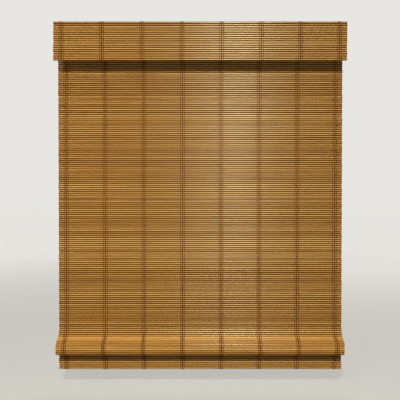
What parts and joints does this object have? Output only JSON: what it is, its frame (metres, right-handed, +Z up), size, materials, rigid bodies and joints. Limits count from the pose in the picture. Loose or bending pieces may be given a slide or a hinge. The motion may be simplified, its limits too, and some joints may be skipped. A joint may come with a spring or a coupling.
{
  "type": "bamboo roman shade",
  "caption": "Woven bamboo reed roman shade with a valance, a soft fold over its hem, and a spring-lift headrail that raises the mat in folds.",
  "frame": {"origin": "centre of the four screw holes in the mounting clips, on the plane that the clips are screwed up against", "axes": "+X to the right seen from the room, +Y towards the window, +Z up"},
  "size_m": [0.914, 0.0633, 1.106],
  "materials": {
    "bamboo": "satin varnish",
    "twine": "matt",
    "headrail_metal": "semi-gloss cream enamel",
    "cap_plastic": "satin",
    "clip_steel": "zinc plated",
    "screw_steel": "zinc plated",
    "motor_plastic": "moulded",
    "wheel_plastic": "moulded",
    "spring_steel": "tempered",
    "pin_steel": "ground",
    "cord": "braided",
    "batten_wood": "sawn",
    "rail_wood": "stained",
    "ring_plastic": "moulded",
    "tape": "woven"
  },
  "bodies": {
    "headrail_body": {"headrail": "headrail_metal", "end_cap_left": "cap_plastic", "end_cap_right": "cap_plastic", "mounting_clip_left": "clip_steel", "mounting_clip_right": "clip_steel", "cord_guide_left": "motor_plastic", "cord_guide_right": "motor_plastic", "pulley_pin_left": "pin_steel", "pulley_pin_right": "pin_steel", "lift_cord_left": "cord", "lift_cord_right": "cord", "motor_base": "motor_plastic", "motor_cover": "motor_plastic", "motor_spring": "spring_steel", "mat_batten": "batten_wood", "batten_screws": "screw_steel", "shade_mat": "bamboo", "shade_twine": "twine", "valance_mat": "bamboo", "valance_twine": "twine", "valance_tape": "tape"},
    "bottom_bar": {"bottom_rail": "rail_wood", "cord_anchors": "cap_plastic", "ring_row_6": "ring_plastic"},
    "left_spool": {"cord_spool_left": "wheel_plastic"},
    "output_drum": {"spring_drum_output": "wheel_plastic"},
    "storage_drum": {"spring_drum_storage": "wheel_plastic"},
    "right_spool": {"cord_spool_right": "wheel_plastic"},
    "left_pulley": {"pulley_left": "wheel_plastic"},
    "right_pulley": {"pulley_right": "wheel_plastic"},
    "rings_1": {"ring_row_1": "ring_plastic"},
    "rings_2": {"ring_row_2": "ring_plastic"},
    "rings_3": {"ring_row_3": "ring_plastic"},
    "rings_4": {"ring_row_4": "ring_plastic"},
    "rings_5": {"ring_row_5": "ring_plastic"}
  },
  "joints": [
    {"name": "lift", "type": "slide", "parent": "headrail_body", "child": "bottom_bar", "axis": [0, 0, 1], "range_m": [0, 0.69], "deforming": ["shade_mat", "shade_twine", "lift_cord_left", "lift_cord_right"]},
    {"name": "rings_1_slide", "type": "slide", "parent": "headrail_body", "child": "rings_1", "axis": [0, 0, 1], "range_m": [0, 0.116]},
    {"name": "rings_2_slide", "type": "slide", "parent": "headrail_body", "child": "rings_2", "axis": [0, 0, 1], "range_m": [0, 0.231]},
    {"name": "rings_3_slide", "type": "slide", "parent": "headrail_body", "child": "rings_3", "axis": [0, 0, 1], "range_m": [0, 0.346]},
    {"name": "rings_4_slide", "type": "slide", "parent": "headrail_body", "child": "rings_4", "axis": [0, 0, 1], "range_m": [0, 0.461]},
    {"name": "rings_5_slide", "type": "slide", "parent": "headrail_body", "child": "rings_5", "axis": [0, 0, 1], "range_m": [0, 0.576]},
    {"name": "left_spool_spin", "type": "hinge", "parent": "headrail_body", "child": "left_spool", "pos_m": [-0.054, 0.006, -0.0246], "axis": [0, 0, 1], "range_deg": [-2826, 0]},
    {"name": "output_drum_spin", "type": "hinge", "parent": "headrail_body", "child": "output_drum", "pos_m": [-0.018, 0.006, -0.0246], "axis": [0, 0, 1], "range_deg": [0, 2826]},
    {"name": "storage_drum_spin", "type": "hinge", "parent": "headrail_body", "child": "storage_drum", "pos_m": [0.018, 0.006, -0.0246], "axis": [0, 0, 1], "range_deg": [-2826, 0]},
    {"name": "right_spool_spin", "type": "hinge", "parent": "headrail_body", "child": "right_spool", "pos_m": [0.054, 0.006, -0.0246], "axis": [0, 0, 1], "range_deg": [0, 2826]},
    {"name": "left_pulley_spin", "type": "hinge", "parent": "headrail_body", "child": "left_pulley", "pos_m": [-0.30329, 0.02, -0.0306], "axis": [0, 1, 0], "range_deg": [0, 6592]},
    {"name": "right_pulley_spin", "type": "hinge", "parent": "headrail_body", "child": "right_pulley", "pos_m": [0.30329, 0.02, -0.0306], "axis": [0, 1, 0], "range_deg": [-6592, 0]}
  ],
  "couplings": [
    {"joint": "rings_1_slide", "follows": "lift", "ratio": 0.16667},
    {"joint": "rings_2_slide", "follows": "lift", "ratio": 0.33333},
    {"joint": "rings_3_slide", "follows": "lift", "ratio": 0.5},
    {"joint": "rings_4_slide", "follows": "lift", "ratio": 0.66667},
    {"joint": "rings_5_slide", "follows": "lift", "ratio": 0.83333},
    {"joint": "left_spool_spin", "follows": "lift", "rad_per_m": -71.429},
    {"joint": "output_drum_spin", "follows": "lift", "rad_per_m": 71.429},
    {"joint": "storage_drum_spin", "follows": "lift", "rad_per_m": -71.429},
    {"joint": "right_spool_spin", "follows": "lift", "rad_per_m": 71.429},
    {"joint": "left_pulley_spin", "follows": "lift", "rad_per_m": 166.67},
    {"joint": "right_pulley_spin", "follows": "lift", "rad_per_m": -166.67}
  ]
}
